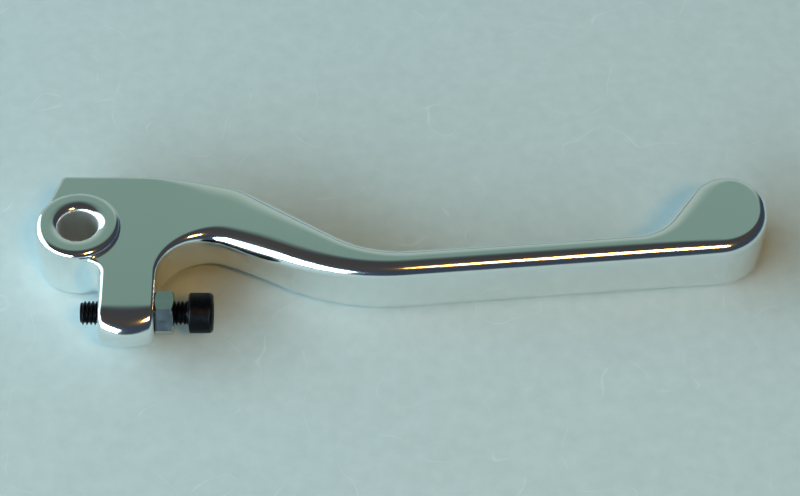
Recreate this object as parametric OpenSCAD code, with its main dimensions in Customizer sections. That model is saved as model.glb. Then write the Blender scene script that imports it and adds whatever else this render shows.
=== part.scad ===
// Front brake lever for a motorbike: one forging with an adjuster screw and its lock nut.
// The origin is the middle of the pivot bore, +Z runs along the bore and +X towards the blade's tip.
// The fingers pull on the +Y side, and the -Y side faces the handlebar.

/* [Pivot boss] */
// Radius of the pivot bore
bore_r = 5; // [4:0.1:5.5]
// Radius that rounds the mouth of the bore at both ends
bore_lead = 2; // [0.5:0.1:2.5]
// Outer radius of the boss
boss_r = 10.7; // [9.5:0.1:12]
// Thickness of the boss, from one clevis face to the other
boss_t = 16; // [14:0.2:20]
// Radius on the outer edges of the boss
boss_edge = 1.75; // [1:0.05:2.5]

/* [Head] */
// Thickness of the flat head and of the arm
web_t = 12.2; // [10:0.2:14]
// Distance from the pivot to the far edge of the head
head_y = 17.8; // [15:0.1:20]
// Direction that the left wall of the head faces, in degrees
left_wall_dir = 161.3; // [150:0.1:170]
// Radius on the edges of the head
head_edge = 1.6; // [1:0.1:3]
// Radius of the corner between the arm and the neck
throat_r = 10.5; // [8:0.5:13]

/* [Arm] */
// Left wall of the arm, on the piston's side
arm_x0 = 6.1; // [5:0.1:7]
// Right wall of the arm, where the nut seats
arm_x1 = 19.9; // [18:0.1:22]
// Distance from the pivot to the middle of the arm's round end
arm_end_y = 25.3; // [24:0.1:28]
// Radius on the long edges of the arm
arm_edge = 1.15; // [0.6:0.05:2]
// Radius of the corner between the boss and the arm
arm_root_r = 4; // [3:0.5:6]

/* [Blade] */
// Distance from the pivot to the tip of the blade
reach = 174; // [160:1:185]
// Thickness of the blade
blade_t = 16.4; // [14:0.2:18]
// Depth of the blade from the handlebar's side to the fingers' side
blade_d = 9.1; // [9:0.1:11]
// Slope of the blade against the X axis, in degrees
blade_dir = 5.2; // [3:0.1:7]
// Slope of the neck on the handlebar's side, in degrees
neck_dir = -23; // [-28:0.5:-18]
// Width of the round lobe at the tip
lobe_w = 20; // [16:0.5:22]
// Distance from the X axis to the top of the lobe
lobe_y = 16.7; // [14:0.1:18]

/* [Adjuster screw and lock nut] */
// Distance from the pivot to the screw's axis
screw_y = 22.5; // [21:0.1:24]
// Thread diameter of the screw
thread_d = 6; // [5:1:6]
// Place of the screw's tip, which pushes the piston
tip_x = 1.5; // [0:0.1:3]
// Length of the screw under its head
shank_l = 26.7; // [25:0.1:30]
// Diameter of the screw's head
head_d = 10; // [8.5:0.1:10.5]
// Length of the screw's head
head_l = 6; // [5:0.1:6.5]
// Width of the hexagon socket across its flats
socket_af = 5; // [4:0.5:6]
// Width of the nut across its flats
nut_af = 10; // [9:0.5:11]
// Thickness of the nut
nut_t = 4.7; // [4:0.1:6]
// Direction of one corner of the nut about the screw's axis, from +Y towards +Z, in degrees
nut_turn = 136; // [0:1:180]

/* [Hidden] */

// Radial clearance of the screw in the arm and in the nut
fit = 0.05;
$fn = 96;
// Degrees between the points of a rounded corner
arc_step = 7.5;
// Steps round the section of an edge
edge_steps = 4;
// Spacing of the cross-sections along the neck and the blade
station = 2.6;

// Corners of the outline seen from +Z, each [x, y, radius], counterclockwise
// The outline passes just under the wall of the boss, which stands on it as a full cylinder
under_r = boss_r - 0.15;
root_dir = -acos((arm_x0 - arm_root_r) / (under_r + arm_root_r));
root_point = under_r * [cos(root_dir), sin(root_dir)];
left_top_x = (head_y * sin(left_wall_dir) - under_r) / -cos(left_wall_dir);
boss_half = (360 + root_dir - left_wall_dir) / 2;
boss_corner = under_r / cos(boss_half) * [cos(left_wall_dir + boss_half), sin(left_wall_dir + boss_half)];
// A point on the handlebar's side of the blade and one on the neck, each carrying its wall's slope
blade_near = [80, -15.87];
neck_near = [38, -5];
blade_far = blade_near + [0, blade_d + 0.3];
neck_far = [45.3, 10.6];
neck_far_dir = -32.6;
lobe_side_dir = 52;
lobe_left_x = reach - lobe_w / 2 - lobe_w / 2 * tan(lobe_side_dir / 2) - 0.1;

// Crossing of two lines, each through a point at a slope in degrees
function cross_of(p, a, q, b) =
    let (t = ((q.x - p.x) * sin(b) - (q.y - p.y) * cos(b)) / sin(b - a))
    p + t * [cos(a), sin(a)];
function corner(p, r) = [p.x, p.y, r];

corners = [
    [24, head_y, 70],
    [left_top_x, head_y, 2],
    corner(boss_corner, under_r),
    [arm_x0, root_point.y + (arm_x0 - root_point.x) * tan(root_dir + 90), arm_root_r],
    [arm_x0, -arm_end_y, 0],
    [arm_x1, -arm_end_y, 0],
    corner(cross_of([arm_x1, 0], 90, neck_near, neck_dir), throat_r),
    corner(cross_of(neck_near, neck_dir, blade_near, blade_dir), 60),
    corner(cross_of(blade_near, blade_dir, [reach, 0], 90), 14),
    [reach, lobe_y, lobe_w / 2],
    [lobe_left_x, lobe_y, lobe_w / 2],
    corner(cross_of([lobe_left_x, lobe_y], lobe_side_dir, blade_far, blade_dir), 13),
    corner(cross_of(blade_far, blade_dir, neck_far, neck_far_dir), 30),
    corner([39.5, neck_far.y + (39.5 - neck_far.x) * tan(neck_far_dir)], 16)
];

function flat(v) = [v.x, v.y];
function unit(v) = v / norm(v);

// Points of corner i, rounded by its radius as a true arc
function corner_arc(i) =
    let (
        n = len(corners),
        c = flat(corners[i]),
        r = corners[i][2],
        u = unit(flat(corners[(i + n - 1) % n]) - c),
        v = unit(flat(corners[(i + 1) % n]) - c),
        half = acos(u * v) / 2,
        centre = c + unit(u + v) * r / sin(half),
        from = c + u * r / tan(half) - centre,
        turn = (180 - 2 * half) * sign(v.x * u.y - v.y * u.x),
        steps = ceil(abs(turn) / min(arc_step, 400 / max(r, 1)))
    )
    r == 0 ? [c] : [for (s = [0 : steps])
        let (a = atan2(from.y, from.x) + turn * s / steps)
        centre + r * [cos(a), sin(a)]];

// The flat head ends and the lobe at the tip starts at these places
x_head = arm_x1 + 1.2;
x_lobe = x_head + station * 45;
near_side = [for (i = [6 : 8]) each corner_arc(i)];
far_side = [for (i = [11, 12, 13, 0]) each corner_arc(i)];
all_round = [for (i = [0 : len(corners) - 1]) each corner_arc(i)];
head_rim = [for (p = all_round) if (p.x < x_head - 0.5) p];
lobe_rim = [for (p = all_round) if (p.x > x_lobe + 0.5) p];
near_rim = [for (x = [x_head : station : x_lobe + 0.1]) [x, lookup(x, near_side)]];
far_rim = [for (x = [x_lobe : -station : x_head - 0.1]) [x, lookup(x, far_side)]];
rim = concat(head_rim, near_rim, lobe_rim, far_rim);

// Half thickness, growing smoothly from the head to the blade
function ease(t) = t * t * (3 - 2 * t);
function half_t(x) = web_t / 2 + (blade_t - web_t) / 2 * ease(min(1, max(0, (x - x_head) / 43)));

// Width and height of the rounded edge, on the handlebar's side and on the fingers' side.
// Round the lobe, the handlebar's side is what lies below lobe_split_y.
function near_edge(x) = lookup(x, [[20, arm_edge], [30, 3], [39, 4.9], [50, 4.9], [62, 4.4], [80, 4.1],
                                   [150, 4], [reach, 2.6]]);
function far_edge_w(x) = lookup(x, [[20, head_edge], [40, 2.6], [72, 4.6], [140, 4.6], [150, 3.6], [160, 2.6]]);
function far_edge_h(x) = lookup(x, [[20, head_edge], [40, 2.8], [72, 7], [140, 7], [150, 5], [160, 2.6]]);
lobe_split_y = -2;
function edge_at(k) =
    let (p = rim[k], near_n = len(head_rim) + len(near_rim))
    k < len(head_rim) ? (p.y > 0 || p.x < -3 ? [head_edge, head_edge] : near_edge(p.x) * [1, 1])
    : k < near_n ? near_edge(p.x) * [1, 1]
    : k < near_n + len(lobe_rim) && p.y < lobe_split_y ? near_edge(p.x) * [1, 1]
    : [far_edge_w(p.x), far_edge_h(p.x)];

// Outward direction of the wall at point k
function wall_dir(k) =
    let (n = len(rim), d = unit(rim[(k + 1) % n] - rim[k]) + unit(rim[k] - rim[(k + n - 1) % n]))
    unit([d.y, -d.x]);

// The wall is cut square where the round end of the arm joins it
arm_mid = (arm_x0 + arm_x1) / 2;
function at_arm_end(k) = abs(rim[k].y + arm_end_y) < 0.01;

// One ring round the forging: tilt runs from 0 at the flat to 90 at the wall, side is 1 on top
function ring(tilt, side) = [for (k = [0 : len(rim) - 1])
    let (e = edge_at(k), out = at_arm_end(k) ? [sign(rim[k].x - arm_mid), 0] : wall_dir(k))
    [
        rim[k].x - out.x * e[0] * (1 - sin(tilt)),
        rim[k].y - out.y * e[0] * (1 - sin(tilt)),
        side * (half_t(rim[k].x) - e[1] * (1 - cos(tilt)))
    ]];

// The head's flats fan out from this point, which sees every corner of the head and lies under the boss
fan_x = arm_x0 + arm_edge + 0.3;
fan_y = 2;

// The forging without its boss: rings from the upper flat down to the lower one
module forging() {
    n = len(rim);
    tilts = [for (s = [0 : edge_steps]) 90 * s / edge_steps];
    rings = concat([for (t = tilts) ring(t, 1)], [for (s = [0 : edge_steps]) ring(tilts[edge_steps - s], -1)]);
    last = len(rings) - 1;
    h = len(head_rim);
    m = len(near_rim);
    lobe_end = h + m + len(lobe_rim);
    bands = [for (j = [0 : last - 1], k = [0 : n - 1])
        each let (a = j * n + k, b = j * n + (k + 1) % n)
            [[a, b, b + n], [a, b + n, a + n]]];
    arm_k = [for (k = [0 : h - 1]) if (at_arm_end(k)) k][0];
    hub = (last + 1) * n;
    fan = concat([n - 1], [for (k = [0 : arm_k - 1]) k], [for (k = [arm_k + 2 : h]) k], [n - 1]);
    arm_flat = [[for (k = [arm_k - 1 : arm_k + 2]) k]];
    lobe_flat = [[for (k = [h + m - 1 : lobe_end]) k]];
    strips = [for (k = [0 : m - 2])
        each let (a = h + k, d = n - 1 - k)
            [[a, a + 1, d - 1], [a, d - 1, d]]];
    caps = concat(arm_flat, lobe_flat, strips);
    upper = [for (f = caps) [for (i = [len(f) - 1 : -1 : 0]) f[i]]];
    lower = [for (f = caps) [for (i = f) i + last * n]];
    head_flats = [for (i = [0 : len(fan) - 2])
        each [[hub, fan[i + 1], fan[i]], [hub + 1, fan[i] + last * n, fan[i + 1] + last * n]]];
    polyhedron(
        points = concat([for (r = rings) each r], [for (side = [1, -1]) [fan_x, fan_y, side * web_t / 2]]),
        faces = concat(bands, upper, lower, head_flats),
        convexity = 6
    );
}

// Half section of the boss, rounded at its outer edges
module boss_section() {
    square_h = boss_t / 2 - boss_edge;
    translate([0, -boss_t / 2]) square([boss_r - boss_edge, boss_t]);
    translate([0, -square_h]) square([boss_r, 2 * square_h]);
    for (side = [-1, 1]) translate([boss_r - boss_edge, side * square_h]) circle(boss_edge);
}

// The pivot bore with its rounded mouths
module pivot_bore() {
    cylinder(r = bore_r, h = boss_t + 2, center = true);
    for (side = [0, 1]) mirror([0, 0, side])
        rotate_extrude() difference() {
            translate([0, boss_t / 2 - bore_lead]) square([bore_r + bore_lead, bore_lead + 1]);
            translate([bore_r + bore_lead, boss_t / 2 - bore_lead]) circle(bore_lead);
        }
}

// The round end of the arm, turned about a line along X
module arm_end() {
    w = arm_x1 - arm_x0;
    r = web_t / 2;
    translate([arm_x0, -arm_end_y, 0]) rotate([0, 90, 0]) rotate([0, 0, 180])
        rotate_extrude(angle = 180) {
            square([r - arm_edge, w]);
            translate([0, arm_edge]) square([r, w - 2 * arm_edge]);
            for (y = [arm_edge, w - arm_edge]) translate([r - arm_edge, y]) circle(arm_edge);
        }
}

module lever_body() {
    color("#b9c4c0") difference() {
        union() {
            forging();
            rotate_extrude() boss_section();
            arm_end();
        }
        pivot_bore();
        translate([0, -screw_y, 0]) rotate([0, 90, 0]) cylinder(r = thread_d / 2 + fit, h = arm_x1 + 1);
    }
}

// Chamfered hexagon nut, seated on the arm
module lock_nut() {
    corner_r = nut_af / sqrt(3);
    flat_r = nut_af / 2 - 0.1;
    bevel = 1;
    color("#8fa39c") translate([arm_x1, -screw_y, 0]) rotate([0, 90, 0]) difference() {
        intersection() {
            rotate([0, 0, nut_turn + 90]) cylinder(r = corner_r, h = nut_t, $fn = 6);
            rotate_extrude() polygon([[0, 0], [flat_r, 0], [flat_r + bevel / tan(30), bevel],
                                      [flat_r + bevel / tan(30), nut_t - bevel], [flat_r, nut_t], [0, nut_t]]);
        }
        translate([0, 0, -1]) cylinder(r = thread_d / 2 + fit, h = nut_t + 2);
        translate([0, 0, nut_t - 0.45]) cylinder(r1 = thread_d / 2 - 0.1, r2 = thread_d / 2 + 0.5, h = 0.5);
    }
}

// Socket-head screw through the nut and the arm
module adjuster_screw() {
    tip_bevel = 0.6;
    head_bevel = 0.5;
    color("#1c1e20") translate([tip_x, -screw_y, 0]) rotate([0, 90, 0]) difference() {
        union() {
            cylinder(r1 = thread_d / 2 - tip_bevel, r2 = thread_d / 2, h = tip_bevel);
            translate([0, 0, tip_bevel]) cylinder(r = thread_d / 2, h = shank_l - tip_bevel + 0.01);
            translate([0, 0, shank_l]) cylinder(r = head_d / 2, h = head_l - head_bevel);
            translate([0, 0, shank_l + head_l - head_bevel])
                cylinder(r1 = head_d / 2, r2 = head_d / 2 - head_bevel, h = head_bevel);
        }
        translate([0, 0, shank_l + head_l / 2]) cylinder(r = socket_af / sqrt(3), h = head_l, $fn = 6);
    }
}

lever_body();
lock_nut();
adjuster_screw();
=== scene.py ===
"""Front brake lever for a motorbike: polished forging, zinc-plated lock nut and blackened adjuster screw.

Meshes are shaped in millimetres in the part's own frame and brought to metres when they are finished.
+X runs along the blade to the tip, the fingers pull on the +Y side and +Z is the axis of the pivot bore.
"""

import math

import bmesh
import bpy
from mathutils import Matrix, Vector


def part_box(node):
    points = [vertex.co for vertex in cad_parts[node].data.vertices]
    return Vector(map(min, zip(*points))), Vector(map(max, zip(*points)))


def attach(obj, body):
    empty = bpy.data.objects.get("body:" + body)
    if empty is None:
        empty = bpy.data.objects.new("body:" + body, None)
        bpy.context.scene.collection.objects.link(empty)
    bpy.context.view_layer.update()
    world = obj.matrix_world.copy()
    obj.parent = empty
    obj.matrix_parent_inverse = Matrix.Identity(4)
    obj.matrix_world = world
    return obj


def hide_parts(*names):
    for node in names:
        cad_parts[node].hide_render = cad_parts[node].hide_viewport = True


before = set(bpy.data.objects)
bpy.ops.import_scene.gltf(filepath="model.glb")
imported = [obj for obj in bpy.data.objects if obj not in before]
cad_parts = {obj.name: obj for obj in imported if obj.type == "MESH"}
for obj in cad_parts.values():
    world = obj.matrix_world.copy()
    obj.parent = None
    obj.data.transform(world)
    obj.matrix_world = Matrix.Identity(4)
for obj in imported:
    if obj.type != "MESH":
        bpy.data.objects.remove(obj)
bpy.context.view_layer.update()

MM = 0.001
# Scale of a pattern that repeats once per millimetre
PER_MM = 1000

# Sizes of the forging in millimetres
BORE_R, MOUTH_W, MOUTH_H = 5.0, 2.6, 1.5
BOSS_R, BOSS_T, BOSS_EDGE = 10.7, 16.0, 1.75
UNDER_R = BOSS_R - 0.15
WEB_T, BLADE_T = 12.2, 16.4
HEAD_Y, LEFT_WALL_DIR = 17.8, math.radians(161.3)
ARM_X0, ARM_X1, ARM_EDGE, ARM_ROOT_R = 6.1, 19.9, 1.15, 4.0
ARM_FLAT_Y, ARM_END_L, ARM_CROWN = -24.6, 7.2, 1.7
THROAT_R = 12.0
REACH, LOBE_Y, LOBE_W = 174.0, 16.7, 20.0
BLADE_DIR, NECK_DIR = math.radians(5.2), math.radians(-24.5)
NECK_FAR_DIR, LOBE_SIDE_DIR = math.radians(-32.6), math.radians(52)
BLADE_NEAR, NECK_NEAR = Vector((80, -15.87)), Vector((50, -9.9))
BLADE_FAR, NECK_FAR = Vector((80, -6.47)), Vector((45.3, 10.6))
NECK_X0, NECK_X1 = 21.1, 64.1

# Screw and nut: the axis and the seats come from the frame
SCREW_LOW, SCREW_HIGH = (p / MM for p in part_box("adjuster_screw"))
NUT_LOW, NUT_HIGH = (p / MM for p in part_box("lock_nut"))
SCREW_Y = (SCREW_LOW.y + SCREW_HIGH.y) / 2
THREAD_R, THREAD_PITCH = 3.0, 1.0
HEAD_R, HEAD_L, SOCKET_AF = 5.0, 6.0, 5.0
NUT_AF, NUT_TURN = 10.0, math.radians(30)
HOLE_R = 3.05

# The floor touches the lowest point of the blade. The lights aim at the middle of the lever's foot on it.
FLOOR_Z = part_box("lever_body")[0].z
AIM = Vector((0.08, 0, FLOOR_Z))


# Meshes


def unit(angle):
    """Direction at an angle from +X, seen from above."""
    return Vector((math.cos(angle), math.sin(angle)))


def crossing(p, a, q, b):
    """Where the line through p at angle a meets the line through q at angle b."""
    t = ((q.x - p.x) * math.sin(b) - (q.y - p.y) * math.cos(b)) / math.sin(b - a)
    return p + t * unit(a)


def smooth_step(t):
    """Smooth rise from 0 to 1 while t goes from 0 to 1."""
    t = min(1.0, max(0.0, t))
    return t * t * (3 - 2 * t)


def along(x, table):
    """Smooth curve through the table's (x, value) pairs."""
    last = len(table) - 1
    i = max([k for k in range(last) if table[k][0] <= x] or [0])
    (x0, y0), (x1, y1) = table[i], table[i + 1]
    before, after = table[max(i - 1, 0)], table[min(i + 2, last)]
    t = min(1.0, max(0.0, (x - x0) / (x1 - x0)))
    slope0 = (y1 - before[1]) / (x1 - before[0]) * (x1 - x0)
    slope1 = (after[1] - y0) / (after[0] - x0) * (x1 - x0)
    return (
        (2 * t**3 - 3 * t**2 + 1) * y0
        + (t**3 - 2 * t**2 + t) * slope0
        + (3 * t**2 - 2 * t**3) * y1
        + (t**3 - t**2) * slope1
    )


def half_thickness(x):
    """Half the forging's thickness, which grows along the neck."""
    return WEB_T / 2 + (BLADE_T - WEB_T) / 2 * smooth_step((x - NECK_X0) / (NECK_X1 - NECK_X0))


# Round of the long edges at places along X: a radius on the near side, a width and a height on the far side
NEAR_ROUND = [
    (6, ARM_EDGE), (20, ARM_EDGE), (28, 2.1), (36, 4), (44, 4.9), (52, 4.8), (64, 4.2), (80, 3.8),
    (150, 3.8), (REACH, 2.6),
]
FAR_ROUND_W = [
    (0, 1.3), (18, 1.6), (26, 3.2), (34, 5.4), (44, 6), (55, 5.4), (64, 5), (72, 5), (140, 5), (150, 5),
    (158, 4.6), (166, 2.6), (REACH, 2.6),
]
FAR_ROUND_H = [
    (0, 1.3), (18, 1.4), (26, 1.6), (34, 2), (44, 2.9), (55, 4.4), (64, 5.6), (72, 6.2), (140, 6.2),
    (150, 4.2), (158, 2.6), (166, 2.2), (REACH, 2.6),
]


def edge_rounds(points):
    """Width and height of the round at each point of an outline that starts at the arm's right side."""
    tip = max(range(len(points)), key=lambda k: points[k].x)
    rounds = []
    for k, p in enumerate(points):
        on_arm = k > tip and 0 < p.x < ARM_X1 + 0.1 and p.y < -BORE_R
        near = along(p.x, NEAR_ROUND)
        far = (along(p.x, FAR_ROUND_W), along(p.x, FAR_ROUND_H))
        rounds.append((near, near) if k <= tip or on_arm else far)
    return rounds


def forging_corners():
    """Corners of the outline with their radii, from the arm's right side round to its left side."""
    root_dir = -math.acos((ARM_X0 - ARM_ROOT_R) / (UNDER_R + ARM_ROOT_R))
    root = UNDER_R * unit(root_dir)
    boss_half = (2 * math.pi + root_dir - LEFT_WALL_DIR) / 2
    boss_corner = UNDER_R / math.cos(boss_half) * unit(LEFT_WALL_DIR + boss_half)
    left_top_x = (HEAD_Y * math.sin(LEFT_WALL_DIR) - UNDER_R) / -math.cos(LEFT_WALL_DIR)
    lobe_left = Vector((REACH - LOBE_W / 2 - LOBE_W / 2 * math.tan(LOBE_SIDE_DIR / 2) - 0.1, LOBE_Y))
    shoulder_y = NECK_FAR.y + (39.5 - NECK_FAR.x) * math.tan(NECK_FAR_DIR)
    root_corner_y = root.y + (ARM_X0 - root.x) * math.tan(root_dir + math.pi / 2)
    return [
        (Vector((ARM_X1, ARM_FLAT_Y)), 0),
        (crossing(Vector((ARM_X1, 0)), math.pi / 2, NECK_NEAR, NECK_DIR), THROAT_R),
        (crossing(NECK_NEAR, NECK_DIR, BLADE_NEAR, BLADE_DIR), 60),
        (crossing(BLADE_NEAR, BLADE_DIR, Vector((REACH, 0)), math.pi / 2), 14),
        (Vector((REACH, LOBE_Y)), LOBE_W / 2),
        (lobe_left, LOBE_W / 2),
        (crossing(lobe_left, LOBE_SIDE_DIR, BLADE_FAR, BLADE_DIR), 13),
        (crossing(BLADE_FAR, BLADE_DIR, NECK_FAR, NECK_FAR_DIR), 30),
        (Vector((39.5, shoulder_y)), 16),
        (Vector((24, HEAD_Y)), 70),
        (Vector((left_top_x, HEAD_Y)), 2),
        (boss_corner, UNDER_R),
        (Vector((ARM_X0, root_corner_y)), ARM_ROOT_R),
        (Vector((ARM_X0, ARM_FLAT_Y)), 0),
    ]


def vertex_at(bm, place):
    """The vertex at a place in the plane, made if there is none."""
    near = [v for v in bm.verts if (v.co.xy - place).length < 0.01]
    return near[0] if near else bm.verts.new((*place, 0))


def rounded_chain(bm, corners, chord):
    """Open chain of edges through the corners. A rounded corner is one vertex spun about its centre."""
    ends = []
    for i, (corner, radius) in enumerate(corners):
        if radius == 0:
            ends.append((corner, corner))
            continue
        u = (corners[i - 1][0] - corner).normalized()
        v = (corners[i + 1][0] - corner).normalized()
        half = u.angle(v) / 2
        centre = corner + (u + v).normalized() * radius / math.sin(half)
        start = corner + u * radius / math.tan(half)
        turn = math.copysign(math.pi - 2 * half, v.x * u.y - v.y * u.x)
        steps = max(4, math.ceil(abs(turn) * max(radius, 4) / chord))
        first = bm.verts.new((*start, 0))
        bmesh.ops.spin(bm, geom=[first], cent=(*centre, 0), axis=(0, 0, 1), angle=turn, steps=steps)
        ends.append((start, corner + v * radius / math.tan(half)))
    for (_, leave), (arrive, _) in zip(ends, ends[1:]):
        if (leave - arrive).length < 0.01:
            continue
        joint = bm.edges.new((vertex_at(bm, leave), vertex_at(bm, arrive)))
        cuts = int(joint.calc_length() / chord / 1.5)
        if cuts:
            bmesh.ops.subdivide_edges(bm, edges=[joint], cuts=cuts)
    bmesh.ops.remove_doubles(bm, verts=bm.verts, dist=0.005)


def chain_order(bm):
    """The vertices of an open chain from one end to the other, starting at the arm's right side."""
    ends = [v for v in bm.verts if len(v.link_edges) == 1]
    walk = [max(ends, key=lambda v: v.co.x)]
    while len(walk) < len(bm.verts):
        beside = [e.other_vert(walk[-1]) for e in walk[-1].link_edges]
        walk.append(next(v for v in beside if v not in walk[-2:]))
    return walk


def drawn_in(bm, rim, steps):
    """Extrudes the rim up the wall and over the rounded edge. Returns the ring that bounds the flat."""
    points = [v.co.xy.copy() for v in rim]
    walls = []
    for before, after in zip(points[:1] + points, points[1:] + points[-1:]):
        d = (after - before).normalized()
        walls.append(Vector((d.y, -d.x)))
    ring = rim
    rounds = edge_rounds(points)
    for step in range(steps + 1):
        tilt = math.radians(90 * (1 - step / steps))
        edges = [bm.edges.get(pair) for pair in zip(ring, ring[1:])]
        made = bmesh.ops.extrude_edge_only(bm, edges=edges)["geom"]
        copies = {v.co.to_tuple(4): v for v in made if isinstance(v, bmesh.types.BMVert)}
        ring = [copies[v.co.to_tuple(4)] for v in ring]
        for v, p, wall, (w, h) in zip(ring, points, walls, rounds):
            inset = p - wall * w * (1 - math.sin(tilt))
            v.co = (*inset, half_thickness(inset.x) - h * (1 - math.cos(tilt)))
    return ring


def arm_section(bm):
    """The edges where the arm's round end starts."""
    return [e for e in bm.edges if all(abs(v.co.y - ARM_FLAT_Y) < 1e-4 for v in e.verts)]


def forging_plate():
    """The forging without its boss: the upper half, the round end of the arm, and their mirror image."""
    bm = bmesh.new()
    rounded_chain(bm, forging_corners(), 0.8)
    flat = [bm.faces.new(drawn_in(bm, chain_order(bm), 12))]
    # Cuts across the neck let the flat follow the growing thickness
    for k in range(round(NECK_X1 - NECK_X0) + 1):
        geom = flat + list({e for f in flat for e in f.edges}) + list({v for f in flat for v in f.verts})
        place = (NECK_X0 + k, 0, 0)
        cut = bmesh.ops.bisect_plane(bm, geom=geom, dist=1e-5, plane_co=place, plane_no=(1, 0, 0))
        flat = [f for f in cut["geom"] if isinstance(f, bmesh.types.BMFace)]
    bmesh.ops.subdivide_edges(bm, edges=[e for e in arm_section(bm) if e.calc_length() > 3], cuts=15)
    section = arm_section(bm)
    known = set(bm.verts)
    bmesh.ops.spin(bm, geom=section + list({v for e in section for v in e.verts}), cent=(0, ARM_FLAT_Y, 0),
                   axis=(1, 0, 0), angle=math.pi / 2, steps=24)
    round_end = [v for v in bm.verts if v not in known]
    stretch = Matrix.Diagonal((1, ARM_END_L / (WEB_T / 2), 1, 1))
    bmesh.ops.transform(bm, matrix=stretch, space=Matrix.Translation((0, -ARM_FLAT_Y, 0)), verts=round_end)
    # The end stands out furthest at the middle of the arm
    for v in round_end:
        across = (2 * v.co.x - ARM_X0 - ARM_X1) / (ARM_X1 - ARM_X0)
        v.co.y += ARM_CROWN * across**2 * (ARM_FLAT_Y - v.co.y) / ARM_END_L
    bmesh.ops.remove_doubles(bm, verts=bm.verts, dist=1e-4)
    bmesh.ops.mirror(bm, geom=bm.verts[:] + bm.edges[:] + bm.faces[:], axis="Z", merge_dist=1e-4)
    bmesh.ops.recalc_face_normals(bm, faces=bm.faces)
    return bm


def lathe(profile, axis, steps):
    """A closed ring or rod: the profile's (radius, place along the axis) corners spun a full turn."""
    bm = bmesh.new()
    side = Vector((1, 0, 0)) if axis.z else Vector((0, 0, 1))
    verts = [bm.verts.new(side * r + axis * z) for r, z in profile]
    edges = [bm.edges.new(pair) for pair in zip(verts, verts[1:])]
    if profile[0][0] > 0:
        edges.append(bm.edges.new((verts[-1], verts[0])))
    bmesh.ops.spin(bm, geom=verts + edges, cent=(0, 0, 0), axis=axis, angle=2 * math.pi, steps=steps,
                   use_merge=True)
    bmesh.ops.remove_doubles(bm, verts=bm.verts, dist=1e-5)
    bmesh.ops.recalc_face_normals(bm, faces=bm.faces)
    return bm


def quarter(centre_r, centre_z, width, height, start, steps):
    """Points of a quarter round in a lathe's profile, clockwise down to the start angle."""
    angles = [math.radians(start + 90 * s / steps) for s in range(steps, -1, -1)]
    return [(centre_r + width * math.cos(a), centre_z + height * math.sin(a)) for a in angles]


def boss_profile():
    """Half section of the boss: clevis faces, rounded outer edges, bore and its rolled mouths."""
    top = BOSS_T / 2
    outer = BOSS_R - BOSS_EDGE
    mouth = BORE_R + MOUTH_W
    profile = [(mouth, top), (mouth + 0.3, top), (outer - 0.3, top)]
    profile += quarter(outer, top - BOSS_EDGE, BOSS_EDGE, BOSS_EDGE, 0, 16)
    profile += [(BOSS_R, z) for z in (5.2, 4, 2, 0, -2, -4, -5.2)]
    profile += quarter(outer, BOSS_EDGE - top, BOSS_EDGE, BOSS_EDGE, -90, 16)
    profile += [(outer - 0.3, -top), (mouth + 0.3, -top)]
    profile += quarter(mouth, MOUTH_H - top, MOUTH_W, MOUTH_H, 180, 16)
    profile += [(BORE_R, z) for z in (-4, -2, 0, 2, 4)]
    profile += quarter(mouth, top - MOUTH_H, MOUTH_W, MOUTH_H, 90, 16)[:-1]
    return profile


def mesh_of(bm, name):
    """The finished bmesh as a mesh."""
    mesh = bpy.data.meshes.new(name)
    bm.to_mesh(mesh)
    bm.free()
    return mesh


def cut_with(mesh, tool, operation):
    """The mesh joined with the tool's mesh, or cut by it."""
    objects = [bpy.data.objects.new(name, m) for name, m in (("work", mesh), ("tool", tool))]
    for o in objects:
        bpy.context.scene.collection.objects.link(o)
    boolean = objects[0].modifiers.new("cut", "BOOLEAN")
    boolean.operation = operation
    boolean.solver = "EXACT"
    boolean.object = objects[1]
    bpy.context.view_layer.update()
    graph = bpy.context.evaluated_depsgraph_get()
    result = bpy.data.meshes.new_from_object(objects[0].evaluated_get(graph))
    for o in objects:
        bpy.data.objects.remove(o)
    return result


def finished(name, mesh, body, material, node, sharp=32):
    """The shaped mesh as a piece of the object: in metres, shaded smooth between its sharp edges."""
    mesh.transform(Matrix.Scale(MM, 4))
    mesh.name = name
    mesh.materials.clear()
    mesh.materials.append(material)
    mesh.shade_smooth()
    mesh.set_sharp_from_angle(angle=math.radians(sharp))
    piece = bpy.data.objects.new(name, mesh)
    bpy.context.scene.collection.objects.link(piece)
    weighted = piece.modifiers.new("flat faces stay flat", "WEIGHTED_NORMAL")
    weighted.keep_sharp = True
    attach(piece, body)
    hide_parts(node)
    return piece


def lever_forging(material):
    """Boss, head, arm, neck, blade and tip: one forging of aluminium."""
    body = mesh_of(forging_plate(), "plate")
    up = Vector((0, 0, 1))
    # The plate is cored inside the boss's flat ring before the boss goes in, so that the bore stays open
    core_r = 8
    core = mesh_of(lathe([(0, -BOSS_T), (core_r, -BOSS_T), (core_r, BOSS_T), (0, BOSS_T)], up, 48), "core")
    body = cut_with(body, core, "DIFFERENCE")
    body = cut_with(body, mesh_of(lathe(boss_profile(), up, 160), "boss"), "UNION")
    # The drill runs past the arm on both sides and leaves 45 degree chamfers
    chamfer, past = 0.4, 2
    drill = [(0, ARM_X0 - past), (HOLE_R + chamfer + past, ARM_X0 - past), (HOLE_R, ARM_X0 + chamfer),
             (HOLE_R, ARM_X1 - chamfer), (HOLE_R + chamfer + past, ARM_X1 + past), (0, ARM_X1 + past)]
    hole = lathe(drill, Vector((1, 0, 0)), 64)
    bmesh.ops.translate(hole, verts=hole.verts, vec=(0, SCREW_Y, 0))
    body = cut_with(body, mesh_of(hole, "drill"), "DIFFERENCE")
    return finished("lever_forging", body, "lever", material, "lever_body")


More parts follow.
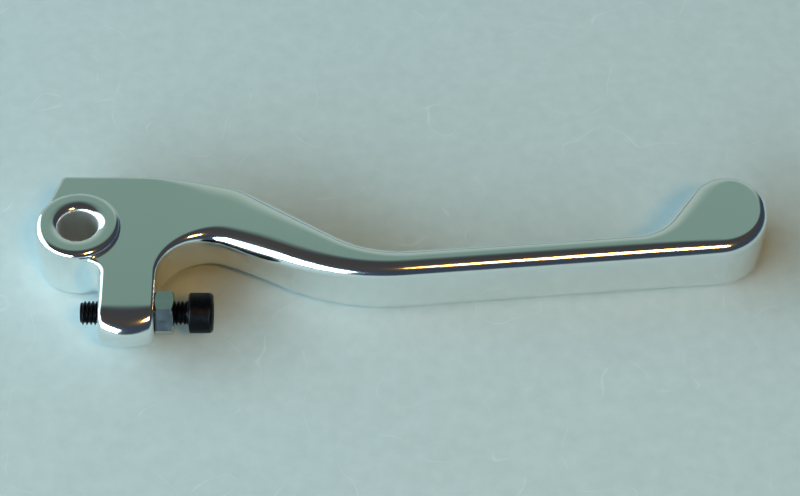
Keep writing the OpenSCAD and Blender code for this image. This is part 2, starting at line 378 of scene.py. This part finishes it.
def onto_hexagon(v, across):
    """Moves a vertex of a part turned about X out to a hexagon that has a corner straight up."""
    turn = math.atan2(v.co.y, v.co.z) % (math.pi / 3) - math.pi / 6
    grow = across / 2 / math.cos(turn) / v.co.yz.length
    v.co.y *= grow
    v.co.z *= grow


def lock_nut(material):
    """Hexagon nut with turned chamfers, seated on the arm."""
    length = NUT_HIGH.x - NUT_LOW.x
    lead = 0.5
    flat_r, mouth_r = NUT_AF / 2 - 0.15, HOLE_R + lead
    chamfer = math.tan(math.radians(30))
    low_rows = [0, 0.6, 1.2, 1.8]
    rows = low_rows + [length / 2] + [length - x for x in reversed(low_rows)]
    profile = [(mouth_r, 0), (flat_r, 0)] + [(NUT_AF / 2, x) for x in rows]
    profile += [(flat_r, length), (mouth_r, length), (HOLE_R, length - lead), (HOLE_R, lead)]
    bm = lathe(profile, Vector((1, 0, 0)), 192)
    for v in bm.verts:
        if v.co.yz.length > flat_r + 0.05:
            share = v.co.x / length
            onto_hexagon(v, NUT_AF)
            drop = (v.co.yz.length - flat_r) * chamfer
            v.co.x = drop + share * (length - 2 * drop)
    turn = Matrix.Rotation(NUT_TURN, 4, "X")
    bmesh.ops.transform(bm, matrix=Matrix.Translation((NUT_LOW.x, SCREW_Y, 0)) @ turn, verts=bm.verts)
    mesh = mesh_of(bm, "nut")
    return finished("lock_nut_detail", mesh, "lever", material, "lock_nut", 25)


def thread_depth(x, angle):
    """Depth of the thread's groove at a place along the screw, from 0 on the crest to 1 at the root."""
    phase = (x / THREAD_PITCH - angle / (2 * math.pi)) % 1
    return min(1.0, max(0.0, (abs(phase - 0.5) * 2 - 0.14) / 0.6))


def adjuster_screw(material):
    """Socket-head screw with a rolled thread, a knurled head and a hexagon socket."""
    tip, head, end = SCREW_LOW.x, SCREW_HIGH.x - HEAD_L, SCREW_HIGH.x
    chamfer, groove, segments = 0.6, 0.6 * THREAD_PITCH, 96
    socket_r, socket_depth, drill_point = 2.8, 3.0, 0.9
    rows = int((head - tip) / THREAD_PITCH * 12)
    shank = [(THREAD_R, tip + 0.02 + (head - tip - 0.02) * k / rows) for k in range(rows + 1)]
    knurl = [(HEAD_R, head + x) for x in (0.45, 0.6, HEAD_L - 1.1, HEAD_L - 0.9)]
    profile = [(0, tip), (THREAD_R - 0.9, tip)] + shank
    profile += [(HEAD_R - 0.5, head), (HEAD_R - 0.1, head + 0.15)] + knurl
    profile += [(HEAD_R - 0.06, end - 0.62), (HEAD_R - 0.5, end - 0.12), (HEAD_R - 0.75, end)]
    profile += [(socket_r + 0.3, end), (socket_r + 0.1, end - 0.2)]
    profile += [(socket_r, end - x) for x in (0.25, 1, 2, socket_depth)]
    profile += [(0, end - socket_depth - drill_point)]
    bm = lathe(profile, Vector((1, 0, 0)), segments)
    for v in bm.verts:
        r, angle = v.co.yz.length, math.atan2(v.co.y, v.co.z)
        if abs(r - THREAD_R) < 0.01 and v.co.x <= head:
            fade = smooth_step((head - v.co.x) / 1.2)
            cone = THREAD_R - max(0.0, chamfer - (v.co.x - tip)) * 1.2
            deep = THREAD_R - groove * thread_depth(v.co.x, angle) * fade
            v.co.yz *= min(cone, deep) / r
        elif abs(r - HEAD_R) < 0.01 and head + 0.5 < v.co.x < end - 1:
            tooth = round(angle / (2 * math.pi) * segments) % 2
            v.co.yz *= 1 - 0.02 * tooth
        elif abs(r - socket_r) < 0.01 and v.co.x > head:
            onto_hexagon(v, SOCKET_AF)
    bmesh.ops.translate(bm, verts=bm.verts, vec=(0, SCREW_Y, 0))
    mesh = mesh_of(bm, "screw")
    return finished("adjuster_screw_detail", mesh, "adjuster", material,
                    "adjuster_screw", 25)


# Materials


def linear(hex_colour):
    """Linear colour of an sRGB hex value."""
    parts = [int(hex_colour[i:i + 2], 16) / 255 for i in (1, 3, 5)]
    return [c / 12.92 if c <= 0.04045 else ((c + 0.055) / 1.055) ** 2.4 for c in parts] + [1]


def add(tree, kind, inputs=None, **settings):
    """Adds a node. Settings are its properties. Inputs are values, or outputs of other nodes to link."""
    node = tree.nodes.new(kind)
    for name, value in settings.items():
        setattr(node, name, value)
    for name, value in (inputs or {}).items():
        if isinstance(value, bpy.types.NodeSocket):
            tree.links.new(value, node.inputs[name])
        else:
            node.inputs[name].default_value = value
    return node


def new_material(name):
    """A new material without nodes, and its node tree."""
    material = bpy.data.materials.new(name)
    material.use_nodes = True
    material.node_tree.nodes.clear()
    return material, material.node_tree


def polished_aluminium():
    """Forged aluminium, buffed to a slightly wavy mirror. The wall of the pivot bore is left as reamed.

    The marks of the buff and of the reamer are drawn coarser than real ones, so that they show.
    """
    material, tree = new_material("polished_aluminium")
    place = add(tree, "ShaderNodeTexCoord").outputs["Object"]
    bore_edge, past_bore = (BORE_R + 0.05) * MM, (BORE_R + 0.4) * MM
    along_blade = add(tree, "ShaderNodeMapping", {"Vector": place, "Scale": (0.04, 1, 1)}).outputs["Vector"]
    waves = add(tree, "ShaderNodeTexNoise", {"Vector": place, "Scale": PER_MM / 9, "Detail": 1.5})
    lines = add(tree, "ShaderNodeTexNoise", {"Vector": along_blade, "Scale": PER_MM / 0.35, "Detail": 2})
    haze = add(tree, "ShaderNodeTexNoise", {"Vector": place, "Scale": PER_MM / 14, "Detail": 4})
    gloss = add(tree, "ShaderNodeMapRange", {"Value": haze.outputs["Fac"], "From Min": 0.3, "From Max": 0.7,
                                             "To Min": 0.08, "To Max": 0.12})
    flat_place = add(tree, "ShaderNodeVectorMath", {0: place, 1: (1, 1, 0)}, operation="MULTIPLY").outputs[0]
    radius = add(tree, "ShaderNodeVectorMath", {0: flat_place}, operation="LENGTH").outputs["Value"]
    reamed = add(tree, "ShaderNodeMapRange", {"Value": radius, "From Min": bore_edge, "From Max": past_bore,
                                              "To Min": 1.0, "To Max": 0.0}).outputs["Result"]
    squashed = add(tree, "ShaderNodeMapping", {"Vector": place, "Scale": (0.1, 0.1, 1)}).outputs["Vector"]
    rings = add(tree, "ShaderNodeTexNoise", {"Vector": squashed, "Scale": PER_MM / 0.3, "Detail": 3})
    ridges = add(tree, "ShaderNodeMath", {0: rings.outputs["Fac"], 1: reamed}, operation="MULTIPLY")
    roughness = add(tree, "ShaderNodeMix", {"Factor": reamed, "A": gloss.outputs["Result"], "B": 0.42})
    ream_marks = add(tree, "ShaderNodeBump", {"Height": ridges.outputs[0], "Strength": 1.0,
                                              "Distance": 0.00002})
    buffed = add(tree, "ShaderNodeBump", {"Height": lines.outputs["Fac"], "Strength": 1.0,
                                          "Distance": 0.0000006, "Normal": ream_marks.outputs["Normal"]})
    wavy = add(tree, "ShaderNodeBump", {"Height": waves.outputs["Fac"], "Strength": 1.0,
                                        "Distance": 0.00003, "Normal": buffed.outputs["Normal"]})
    metal = add(tree, "ShaderNodeBsdfPrincipled", {"Base Color": linear("#EEF2F1"), "Metallic": 1.0,
                                                   "Roughness": roughness.outputs["Result"],
                                                   "Normal": wavy.outputs["Normal"]})
    add(tree, "ShaderNodeOutputMaterial", {"Surface": metal.outputs["BSDF"]})
    return material


def satin_steel(name, dark, light, roughness, cloud, grain, relief):
    """Steel with a thin coating: cloudy between two colours and two roughnesses, with fine grain.

    The sizes of the clouds and of the grain are in millimetres, the relief is in metres.
    """
    material, tree = new_material(name)
    place = add(tree, "ShaderNodeTexCoord").outputs["Object"]
    clouds = add(tree, "ShaderNodeTexNoise", {"Vector": place, "Scale": PER_MM / cloud, "Detail": 4})
    share = clouds.outputs["Fac"]
    colour = add(tree, "ShaderNodeMix", {"Factor": share, "A": linear(dark), "B": linear(light)},
                 data_type="RGBA")
    gloss = add(tree, "ShaderNodeMapRange", {"Value": share, "To Min": roughness[0], "To Max": roughness[1]})
    grains = add(tree, "ShaderNodeTexNoise", {"Vector": place, "Scale": PER_MM / grain, "Detail": 2})
    bump = add(tree, "ShaderNodeBump", {"Height": grains.outputs["Fac"], "Strength": 1.0,
                                        "Distance": relief})
    metal = add(tree, "ShaderNodeBsdfPrincipled", {"Base Color": colour.outputs["Result"], "Metallic": 1.0,
                                                   "Roughness": gloss.outputs["Result"],
                                                   "Normal": bump.outputs["Normal"]})
    add(tree, "ShaderNodeOutputMaterial", {"Surface": metal.outputs["BSDF"]})
    return material


def zinc_plated_steel():
    """Steel nut, bright zinc with a clear passivation: satin and a little cloudy."""
    return satin_steel("zinc_plated_steel", "#A9B5B4", "#C8D2D0", (0.13, 0.22), 1.6, 0.25, 0.000004)


def black_oxide_steel():
    """Alloy steel screw, blackened and oiled: near black with a soft bluish sheen."""
    return satin_steel("black_oxide_steel", "#131417", "#24262B", (0.3, 0.45), 1.2, 0.2, 0.000005)


def paper():
    """Pale fibrous paper under the lever: matt, softly mottled, with faint pale fibres."""
    material, tree = new_material("pale_paper")
    place = add(tree, "ShaderNodeTexCoord").outputs["Object"]
    mottle = add(tree, "ShaderNodeTexNoise", {"Vector": place, "Scale": PER_MM / 3.5, "Detail": 4})
    tone = add(tree, "ShaderNodeMix", {"Factor": mottle.outputs["Fac"], "A": linear("#A2B5B5"),
                                       "B": linear("#B2C4C4")}, data_type="RGBA")
    curl = add(tree, "ShaderNodeTexNoise", {"Vector": place, "Scale": PER_MM / 22, "Detail": 0.6})
    off_line = add(tree, "ShaderNodeMath", {0: curl.outputs["Fac"], 1: 0.5}, operation="SUBTRACT").outputs[0]
    distance = add(tree, "ShaderNodeMath", {0: off_line}, operation="ABSOLUTE").outputs[0]
    line = add(tree, "ShaderNodeMapRange", {"Value": distance, "From Min": 0.0, "From Max": 0.004,
                                            "To Min": 0.22, "To Max": 0.0}).outputs["Result"]
    patches = add(tree, "ShaderNodeTexNoise", {"Vector": place, "Scale": PER_MM / 8, "Detail": 1})
    shown = add(tree, "ShaderNodeMapRange", {"Value": patches.outputs["Fac"], "From Min": 0.45,
                                             "From Max": 0.6}).outputs["Result"]
    fibre = add(tree, "ShaderNodeMath", {0: line, 1: shown}, operation="MULTIPLY").outputs[0]
    colour = add(tree, "ShaderNodeMix", {"Factor": fibre, "A": tone.outputs["Result"],
                                         "B": linear("#DCE6E2")}, data_type="RGBA")
    matt = add(tree, "ShaderNodeBsdfPrincipled", {"Base Color": colour.outputs["Result"], "Roughness": 0.9})
    add(tree, "ShaderNodeOutputMaterial", {"Surface": matt.outputs["BSDF"]})
    return material


# Studio


def floor():
    """Plain pale floor that rises at its far rim, so that it also fills a low view."""
    flat, lift = 7.0, 0.8
    profile = [(0, 0), (0.5, 0), (1.5, 0), (3, 0), (flat, 0)]
    for angle in range(10, 81, 10):
        a = math.radians(angle)
        profile.append((flat + lift * math.sin(a), lift * (1 - math.cos(a))))
    bm = bmesh.new()
    verts = [bm.verts.new((r, 0, z)) for r, z in profile]
    edges = [bm.edges.new(pair) for pair in zip(verts, verts[1:])]
    bmesh.ops.spin(bm, geom=verts + edges, cent=(0, 0, 0), axis=(0, 0, 1), angle=2 * math.pi, steps=96,
                   use_merge=True)
    bmesh.ops.remove_doubles(bm, verts=bm.verts, dist=1e-5)
    bmesh.ops.recalc_face_normals(bm, faces=bm.faces)
    bmesh.ops.translate(bm, verts=bm.verts, vec=(0, 0, FLOOR_Z))
    mesh = mesh_of(bm, "floor")
    if mesh.polygons[0].normal.z < 0:
        mesh.flip_normals()
    mesh.shade_smooth()
    mesh.materials.append(paper())
    plain = bpy.data.objects.new("floor", mesh)
    bpy.context.scene.collection.objects.link(plain)


def soft_light(name, shape, towards, elevation, distance, width, height, radiance, colour):
    """A flat soft light that faces the lever. It is seen from there in the direction towards, in degrees
    to the right of -Y, at an elevation in degrees, and its sizes are in metres.
    """
    a, e = math.radians(towards), math.radians(elevation)
    direction = Vector((math.sin(a) * math.cos(e), -math.cos(a) * math.cos(e), math.sin(e)))
    data = bpy.data.lights.new(name, "AREA")
    data.shape = shape
    data.size, data.size_y = width, height
    data.energy = radiance * math.pi * width * height * (math.pi / 4 if shape == "ELLIPSE" else 1)
    data.color = colour
    light = bpy.data.objects.new(name, data)
    light.location = AIM + direction * distance
    light.rotation_euler = (-direction).to_track_quat("-Z", "Y").to_euler()
    light.visible_camera = False
    bpy.context.scene.collection.objects.link(light)


def graded(tree, value, stops):
    """Colour that follows a value through (place, hex colour) stops."""
    node = add(tree, "ShaderNodeValToRGB", {"Fac": value})
    stripe = node.color_ramp
    while len(stripe.elements) < len(stops):
        stripe.elements.new(0.5)
    for element, (place, hex_colour) in zip(stripe.elements, stops):
        element.position = place
        element.color = linear(hex_colour)
    return node.outputs["Color"]


def room():
    """Dark room with a pale wall on the fingers' side that darkens upwards. The lever's flats mirror it."""
    world = bpy.data.worlds.new("room")
    world.use_nodes = True
    tree = world.node_tree
    tree.nodes.clear()
    direction = add(tree, "ShaderNodeTexCoord").outputs["Generated"]
    sky = add(tree, "ShaderNodeSeparateXYZ", {"Vector": direction}).outputs
    ahead = add(tree, "ShaderNodeMath", {0: sky["Y"], 1: 0.02}, operation="MAXIMUM").outputs[0]
    swing = add(tree, "ShaderNodeMath", {0: sky["X"], 1: ahead}, operation="DIVIDE").outputs[0]
    # The wall fades out at its right end, its left end and where it comes round beside the lever
    wall = 1.0
    for value, none, full in ((swing, 0.85, 0.45), (swing, -1.9, -0.7), (sky["Y"], 0.0, 0.15)):
        side = add(tree, "ShaderNodeMapRange", {"Value": value, "From Min": none, "From Max": full},
                   interpolation_type="SMOOTHSTEP").outputs["Result"]
        wall = add(tree, "ShaderNodeMath", {0: wall, 1: side}, operation="MULTIPLY").outputs[0]
    lit = graded(tree, sky["Z"], [(0.0, "#AFC0B9"), (0.42, "#A3B6AD"), (0.62, "#8CA49B"), (0.75, "#7C978E"),
                                  (0.85, "#6B837C"), (0.92, "#505858"), (0.975, "#3E4042")])
    dim = graded(tree, sky["Z"], [(0.0, "#3A475A"), (0.5, "#343F4E"), (0.8, "#45403C"), (1.0, "#3E3F42")])
    colour = add(tree, "ShaderNodeMix", {"Factor": wall, "A": dim, "B": lit}, data_type="RGBA")
    light = add(tree, "ShaderNodeBackground", {"Color": colour.outputs["Result"], "Strength": 1.0})
    add(tree, "ShaderNodeOutputWorld", {"Surface": light.outputs["Background"]})
    bpy.context.scene.world = world


def camera():
    """Long lens above the handlebar's side, turned a little about its axis as the photograph was."""
    place, target = Vector((57.81, -427.44, 499.59)) * MM, Vector((80.74, -1.37, 0)) * MM
    roll = math.radians(2.4)
    ahead = (target - place).normalized()
    right = ahead.cross(Vector((0, 0, 1))).normalized()
    up = right.cross(ahead)
    right, up = right * math.cos(roll) + up * math.sin(roll), up * math.cos(roll) - right * math.sin(roll)
    data = bpy.data.cameras.new("camera")
    # Millimetres
    data.sensor_width = 36
    data.lens = 117
    data.clip_start = 0.01
    eye = bpy.data.objects.new("camera", data)
    eye.matrix_world = Matrix.Translation(place) @ Matrix((right, up, -ahead)).transposed().to_4x4()
    bpy.context.scene.collection.objects.link(eye)
    bpy.context.scene.camera = eye


lever_forging(polished_aluminium())
lock_nut(zinc_plated_steel())
adjuster_screw(black_oxide_steel())

floor()
room()
soft_light("window", "RECTANGLE", towards=-64, elevation=20.5, distance=2.9, width=6.4, height=1.4,
           radiance=10.3, colour=(0.65, 0.85, 0.97))
soft_light("left_wall", "RECTANGLE", towards=-119, elevation=27, distance=2.9, width=2.6, height=2.3,
           radiance=1.9, colour=(0.66, 0.86, 0.97))
soft_light("warm_lamp", "ELLIPSE", towards=27.5, elevation=51, distance=2.5, width=0.7, height=0.57,
           radiance=23.0, colour=(1.0, 0.52, 0.14))
camera()
bpy.context.scene.view_settings.view_transform = "Standard"
